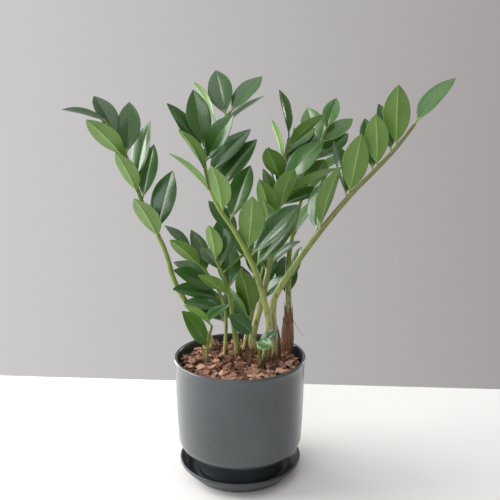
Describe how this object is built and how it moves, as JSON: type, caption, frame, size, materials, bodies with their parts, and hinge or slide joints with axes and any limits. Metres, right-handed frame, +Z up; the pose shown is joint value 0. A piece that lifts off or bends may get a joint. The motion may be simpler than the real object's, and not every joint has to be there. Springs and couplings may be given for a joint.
{
  "type": "potted zz plant",
  "caption": "Upright house plant with long arching fronds of glossy oval leaflets, in a round dark pot with bark mulch, standing on a matching saucer.",
  "frame": {"origin": "centre of the saucer's flat underside, on the pot's axis", "axes": "+Z up along the pot's axis, -Y towards the front, +X to the right seen from the front; the long thick frond leans to +X"},
  "size_m": [0.4776, 0.2224, 0.5169],
  "materials": {
    "pot_glaze": "matte",
    "saucer_glaze": "matte",
    "soil": "matte",
    "bark": "matte",
    "bark_light": "matte",
    "rhizome": "matte",
    "stem": "satin",
    "leaf": "gloss",
    "sheath": "matte"
  },
  "bodies": {
    "root": {"saucer": "saucer_glaze", "pot": "pot_glaze", "potting_mix": "soil", "bark_mulch": "bark", "rhizomes": "rhizome", "stem_a": "stem", "leaf_a01": "leaf", "leaf_a02": "leaf", "leaf_a03": "leaf", "leaf_a04": "leaf", "leaf_a05": "leaf", "leaf_a06": "leaf", "leaf_a07": "leaf", "leaf_a08": "leaf", "leaf_a09": "leaf", "stem_b": "stem", "leaf_b01": "leaf", "leaf_b02": "leaf", "leaf_b03": "leaf", "leaf_b04": "leaf", "leaf_b05": "leaf", "leaf_b06": "leaf", "leaf_b07": "leaf", "leaf_b08": "leaf", "leaf_b09": "leaf", "leaf_b10": "leaf", "leaf_b11": "leaf", "leaf_b12": "leaf", "leaf_b13": "leaf", "leaf_b14": "leaf", "leaf_b15": "leaf", "leaf_b16": "leaf", "leaf_b17": "leaf", "stem_c": "stem", "leaf_c01": "leaf", "leaf_c02": "leaf", "leaf_c03": "leaf", "leaf_c04": "leaf", "leaf_c05": "leaf", "leaf_c06": "leaf", "leaf_c07": "leaf", "leaf_c08": "leaf", "leaf_c09": "leaf", "frond_d": "leaf", "frond_e": "leaf", "frond_f": "leaf", "frond_g": "leaf", "frond_h": "leaf", "frond_k": "leaf", "frond_m": "leaf", "sheath_c": "sheath", "sheath_k": "sheath", "chip_1": "bark_light", "chip_2": "bark_light", "chip_3": "bark_light", "chip_4": "bark_light", "chip_5": "bark_light", "chip_6": "bark_light"}
  },
  "joints": []
}
